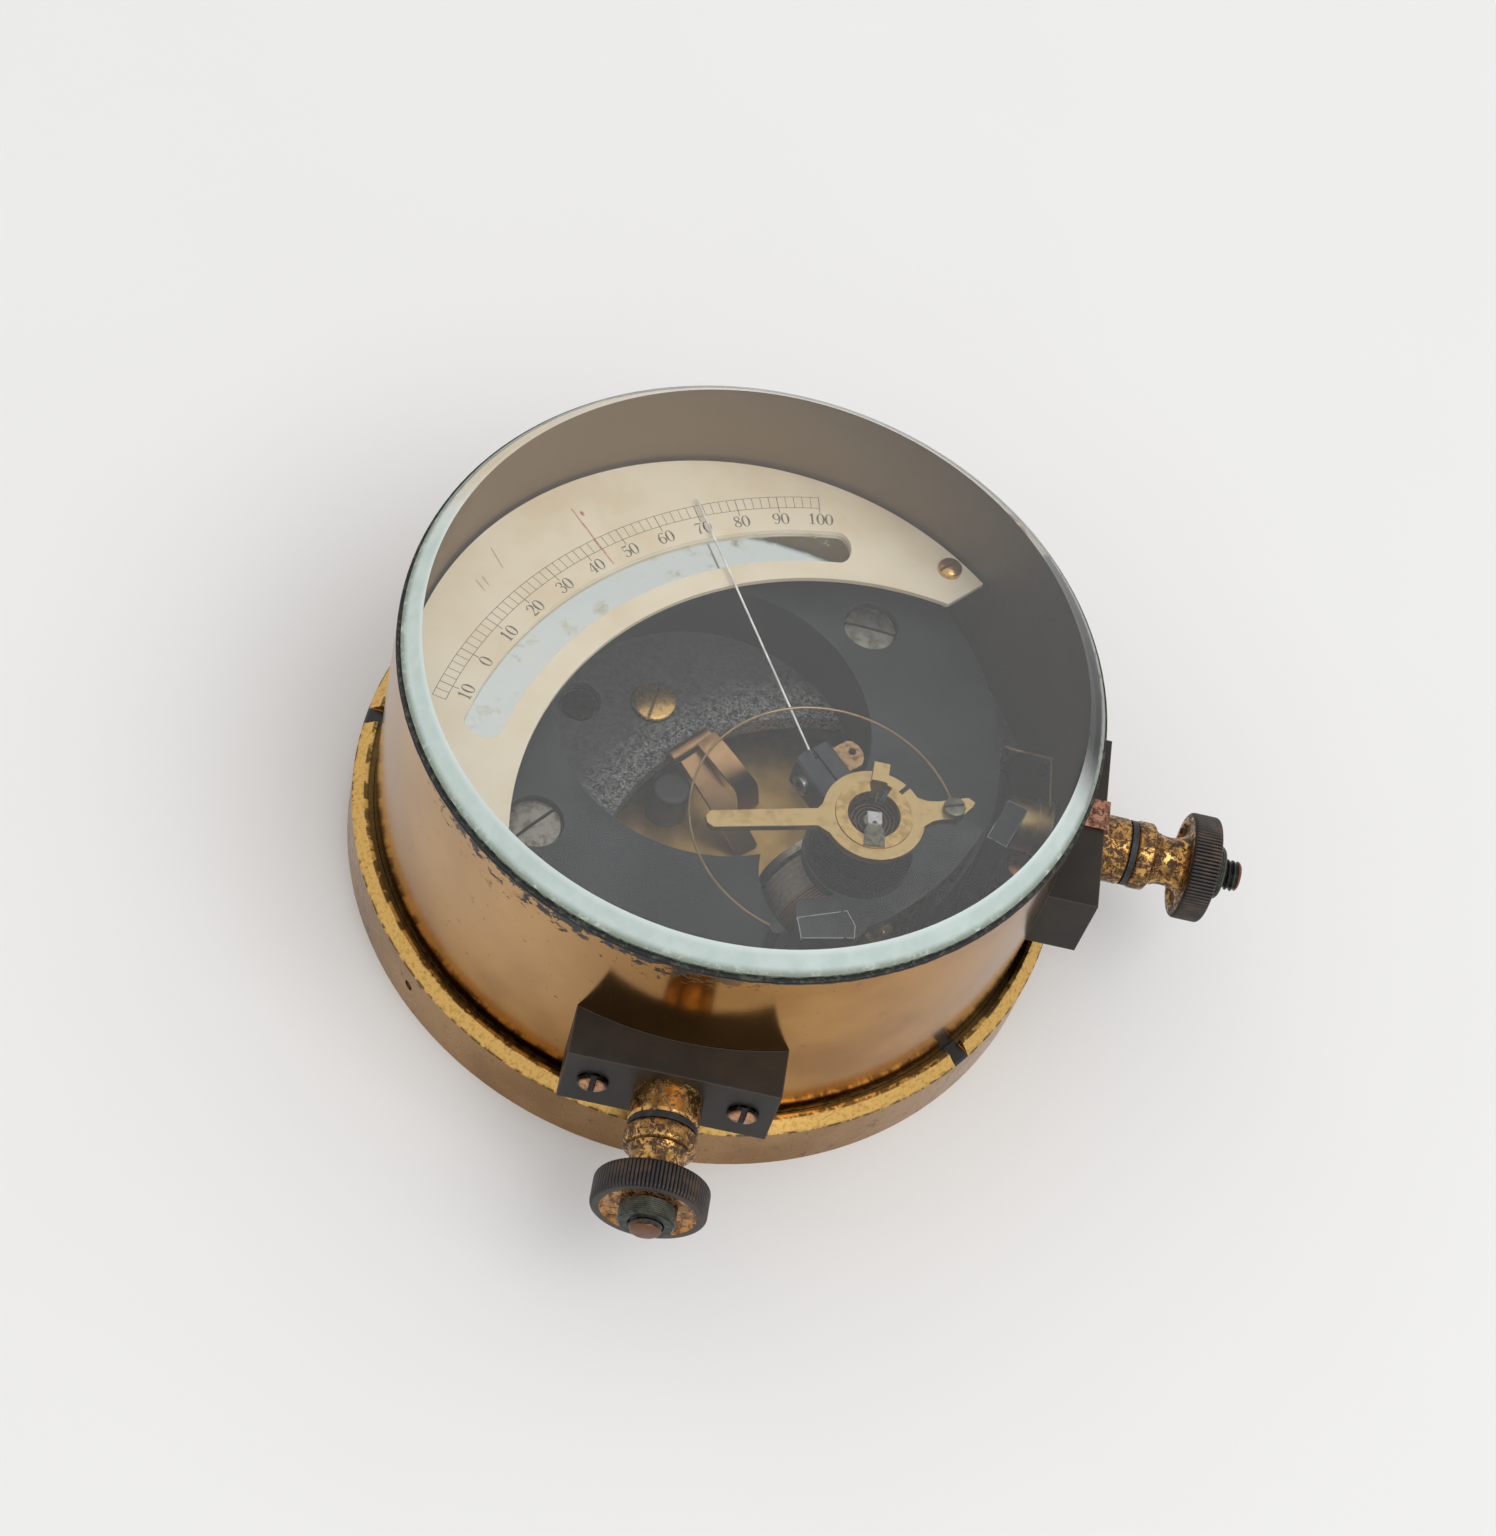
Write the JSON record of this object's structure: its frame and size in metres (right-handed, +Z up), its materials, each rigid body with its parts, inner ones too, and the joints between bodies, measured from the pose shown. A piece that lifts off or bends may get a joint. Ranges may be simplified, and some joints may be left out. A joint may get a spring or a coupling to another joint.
{
  "type": "unipivot galvanometer",
  "caption": "Round brass-cased galvanometer: a coil balanced on a pivot in a C-shaped magnet swings a pointer over a mirrored scale; knurled side terminals and a zero adjuster.",
  "frame": {"origin": "centre of the case's flat underside, on the axis of the drum", "axes": "+Z up; -Y toward the front terminal; +X toward the side terminal"},
  "size_m": [0.1358, 0.1339, 0.0528],
  "materials": {
    "lacquered_brass": "lacquered, with fine lathe lines and dark specks",
    "worn_brass": "bare worn edge, golden",
    "floor_brass": "lacquered, slightly dull",
    "terminal_brass": "tarnished, mottled brown and gold",
    "fine_brass": "clean lacquered instrument brass",
    "copper": "bright to brown copper",
    "bronze_leaf": "satin rolled bronze",
    "winding": "varnished silk-covered wire",
    "ebonite": "aged brown-black hard rubber",
    "black_fibre": "black",
    "cement": "black wax cement",
    "crinkle_black": "black crinkle japan",
    "magnet_steel": "dark scratched hardened steel",
    "dark_steel": "blackened, chipped edges",
    "screw_steel": "grey, slotted",
    "silver_metal": "satin white metal",
    "dark_alloy": "blackened light alloy",
    "pale_rod": "drawn glass, frosted",
    "ruby": "polished",
    "clear_glass": "clear, faintly green at the edge, dusty",
    "mirror": "silvered glass",
    "cream_scale": "matt cream enamel with a printed scale"
  },
  "bodies": {
    "case": {"base_plate": "floor_brass", "base_ring": "worn_brass", "base_grub_screws": "dark_steel", "drum_case": "lacquered_brass", "glass_cement": "cement", "cover_glass": "clear_glass", "front_terminal_block": "ebonite", "side_terminal_block": "ebonite", "terminal_block_screws": "terminal_brass", "front_terminal_stud": "terminal_brass", "side_terminal_stud": "terminal_brass", "front_terminal_collar": "terminal_brass", "side_terminal_collar": "terminal_brass", "inner_stud_nuts": "fine_brass", "inner_insulators": "black_fibre", "earthing_strip": "copper", "front_inner_block": "dark_alloy", "side_inner_block": "dark_alloy", "inner_block_screws": "copper", "side_lead": "fine_brass", "lead_post": "black_fibre", "loop_lead": "fine_brass", "casting": "crinkle_black", "casting_screws": "fine_brass", "magnet": "magnet_steel", "magnet_screws": "screw_steel", "scale_pillars": "fine_brass", "scale_plate": "cream_scale", "scale_mirror": "mirror", "scale_screws": "fine_brass", "pole_bridge": "dark_steel", "bridge_bush": "fine_brass", "staff_guard": "silver_metal", "core_ball": "magnet_steel", "core_stem": "fine_brass", "core_bracket": "fine_brass", "jewel": "ruby", "lifter_knob": "black_fibre", "contact_leaf": "bronze_leaf"},
    "moving_coil": {"pivot_staff": "screw_steel", "coil_former": "copper", "coil_winding": "winding", "coil_wrap": "winding", "coil_front_ring": "silver_metal", "pointer_bracket": "dark_alloy", "pointer_block": "dark_alloy", "block_lug": "bronze_leaf", "pointer": "pale_rod", "balance_ring": "silver_metal", "tail_rod": "silver_metal", "tail_weights": "fine_brass"},
    "zero_adjuster": {"adjuster_ring": "fine_brass", "adjuster_tab": "fine_brass", "adjuster_stud": "dark_steel", "hairspring": "bronze_leaf"},
    "front_washer": {"front_terminal_washer": "black_fibre"},
    "front_nut": {"front_terminal_nut": "terminal_brass"},
    "side_washer": {"side_terminal_washer": "black_fibre"},
    "side_nut": {"side_terminal_nut": "terminal_brass"}
  },
  "joints": [
    {"name": "coil_swing", "type": "hinge", "parent": "case", "child": "moving_coil", "pos_m": [0.02017, -0.0186, 0.0215], "axis": [0, 0, 1], "range_deg": [-17.1, 50.2], "stiffness_Nm_per_rad": 0.00001, "deforming": ["hairspring"]},
    {"name": "zero_adjust", "type": "hinge", "parent": "case", "child": "zero_adjuster", "pos_m": [0.02017, -0.0186, 0.0442], "axis": [0, 0, 1], "range_deg": [-8, 8], "deforming": ["hairspring", "loop_lead"]},
    {"name": "front_nut_travel", "type": "slide", "parent": "case", "child": "front_washer", "axis": [0, -1, 0], "range_m": [0, 0.0042]},
    {"name": "front_nut_turn", "type": "hinge", "parent": "front_washer", "child": "front_nut", "pos_m": [0, -0.0633, 0.0235], "axis": [0, -1, 0], "range_deg": [0, 1866]},
    {"name": "side_nut_travel", "type": "slide", "parent": "case", "child": "side_washer", "axis": [1, 0, 0], "range_m": [0, 0.0042]},
    {"name": "side_nut_turn", "type": "hinge", "parent": "side_washer", "child": "side_nut", "pos_m": [0.0633, 0, 0.0235], "axis": [1, 0, 0], "range_deg": [0, 1866]}
  ],
  "couplings": [
    {"joint": "front_nut_travel", "follows": "front_nut_turn", "m_per_rad": 0.00012892},
    {"joint": "side_nut_travel", "follows": "side_nut_turn", "m_per_rad": 0.00012892}
  ]
}
